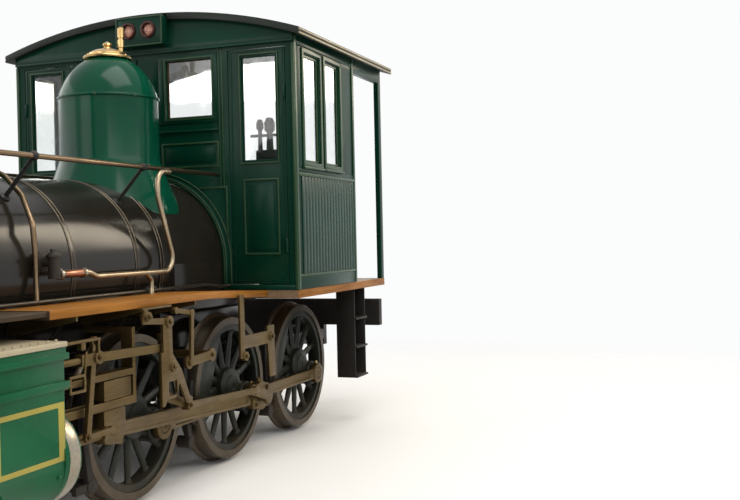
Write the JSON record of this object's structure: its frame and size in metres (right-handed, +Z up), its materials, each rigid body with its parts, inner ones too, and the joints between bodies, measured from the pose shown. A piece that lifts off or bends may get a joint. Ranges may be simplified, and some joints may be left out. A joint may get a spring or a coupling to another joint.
{
  "type": "steam locomotive",
  "caption": "Small steam locomotive with a panelled wooden cab, domed boiler, outside cylinders, coupled spoked wheels and a swivelling leading truck.",
  "frame": {"origin": "middle of the footprint, at the level the wheel flanges stand on", "axes": "+X forward, +Y to the engine's left, +Z up"},
  "size_m": [7.5, 2.8, 3.5698],
  "materials": {
    "cab_paint": "gloss",
    "boiler_black": "gloss",
    "frame_black": "satin",
    "roof_dark": "satin",
    "motion_steel": "worn",
    "wheel_paint": "satin",
    "brass": "polished",
    "pipe_steel": "polished",
    "board_wood": "oiled",
    "floor_wood": "worn",
    "pane": "clear",
    "lamp_red": "clear",
    "cast": "rough"
  },
  "bodies": {
    "engine": {"main_frames": "frame_black", "springs": "frame_black", "front_beam": "frame_black", "rear_beam": "frame_black", "coupler_head": "cast", "boiler": "boiler_black", "smokebox": "boiler_black", "chimney": "boiler_black", "steam_dome": "cab_paint", "dome_brass": "brass", "sand_dome": "cab_paint", "cab_floor": "floor_wood", "cab_front": "cab_paint", "cab_side_left": "cab_paint", "cab_side_right": "cab_paint", "cab_roof": "roof_dark", "lamp_box": "cab_paint", "lamp_lenses": "lamp_red", "cab_glass": "pane", "backhead_fittings": "brass", "running_boards": "board_wood", "motion_brackets": "frame_black", "handrails": "pipe_steel", "sand_pipes": "pipe_steel", "check_valves": "brass", "feed_pipes": "pipe_steel", "cylinder_left": "cab_paint", "cylinder_right": "cab_paint", "guide_bars": "motion_steel", "valve_gear_left": "motion_steel", "valve_gear_right": "motion_steel", "reverse_shaft": "motion_steel", "brake_gear": "frame_black", "ash_pan": "frame_black", "steps": "frame_black"},
    "driver_1": {"driver_wheels_1": "wheel_paint"},
    "driver_2": {"driver_wheels_2": "wheel_paint"},
    "driver_3": {"driver_wheels_3": "wheel_paint"},
    "pony_truck": {"pony_truck": "frame_black"},
    "pony_axle": {"pony_wheels": "wheel_paint"},
    "side_rod_left": {"side_rod_left": "motion_steel"},
    "side_rod_right": {"side_rod_right": "motion_steel"},
    "crosshead_left": {"crosshead_left": "motion_steel"},
    "crosshead_right": {"crosshead_right": "motion_steel"},
    "main_rod_left": {"main_rod_left": "motion_steel"},
    "main_rod_right": {"main_rod_right": "motion_steel"},
    "smokebox_door": {"smokebox_door": "boiler_black"},
    "cab_door_left": {"cab_door_left": "cab_paint", "door_glass_left": "pane"},
    "cab_door_right": {"cab_door_right": "cab_paint", "door_glass_right": "pane"},
    "coupler_knuckle": {"coupler_knuckle": "cast"}
  },
  "joints": [
    {"name": "driver_2_spin", "type": "hinge", "parent": "engine", "child": "driver_2", "pos_m": [-1, 0, 0.575], "axis": [0, 1, 0], "continuous": true},
    {"name": "driver_1_spin", "type": "hinge", "parent": "engine", "child": "driver_1", "pos_m": [0.3, 0, 0.575], "axis": [0, 1, 0], "continuous": true},
    {"name": "driver_3_spin", "type": "hinge", "parent": "engine", "child": "driver_3", "pos_m": [-2.3, 0, 0.575], "axis": [0, 1, 0], "continuous": true},
    {"name": "side_rod_left_pin", "type": "hinge", "parent": "driver_2", "child": "side_rod_left", "pos_m": [-1.23381, 0.865, 0.47575], "axis": [0, 1, 0], "continuous": true},
    {"name": "crosshead_left_slide", "type": "slide", "parent": "engine", "child": "crosshead_left", "axis": [1, 0, 0], "range_m": [-0.0177, 0.4903]},
    {"name": "main_rod_left_pin", "type": "hinge", "parent": "crosshead_left", "child": "main_rod_left", "pos_m": [0.7437, 0.932, 0.575], "axis": [0, 1, 0], "range_deg": [-4.5, 10.24]},
    {"name": "cab_door_left_hinge", "type": "hinge", "parent": "engine", "child": "cab_door_left", "pos_m": [-1.194, 1.228, 2.2], "axis": [0, 0, 1], "range_deg": [0, 100]},
    {"name": "side_rod_right_pin", "type": "hinge", "parent": "driver_2", "child": "side_rod_right", "pos_m": [-0.90075, -0.865, 0.34119], "axis": [0, 1, 0], "continuous": true},
    {"name": "crosshead_right_slide", "type": "slide", "parent": "engine", "child": "crosshead_right", "axis": [1, 0, 0], "range_m": [-0.3394, 0.1686]},
    {"name": "main_rod_right_pin", "type": "hinge", "parent": "crosshead_right", "child": "main_rod_right", "pos_m": [1.06539, -0.932, 0.575], "axis": [0, 1, 0], "range_deg": [-0.59, 14.15]},
    {"name": "cab_door_right_hinge", "type": "hinge", "parent": "engine", "child": "cab_door_right", "pos_m": [-1.194, -1.228, 2.2], "axis": [0, 0, -1], "range_deg": [0, 100]},
    {"name": "pony_swivel", "type": "hinge", "parent": "engine", "child": "pony_truck", "pos_m": [1.9, 0, 0.5], "axis": [0, 0, 1], "range_deg": [-5, 5]},
    {"name": "pony_spin", "type": "hinge", "parent": "pony_truck", "child": "pony_axle", "pos_m": [2.95, 0, 0.387], "axis": [0, 1, 0], "continuous": true},
    {"name": "smokebox_door_hinge", "type": "hinge", "parent": "engine", "child": "smokebox_door", "pos_m": [2.533, -0.566, 1.55], "axis": [0, 0, -1], "range_deg": [0, 110]},
    {"name": "knuckle_pin", "type": "hinge", "parent": "engine", "child": "coupler_knuckle", "pos_m": [3.695, 0.092, 0.9], "axis": [0, 0, 1], "range_deg": [0, 40]}
  ],
  "couplings": [
    {"joint": "driver_1_spin", "follows": "driver_2_spin", "ratio": 1},
    {"joint": "driver_3_spin", "follows": "driver_2_spin", "ratio": 1},
    {"joint": "side_rod_left_pin", "follows": "driver_2_spin", "ratio": -1},
    {"joint": "side_rod_right_pin", "follows": "driver_2_spin", "ratio": -1}
  ]
}
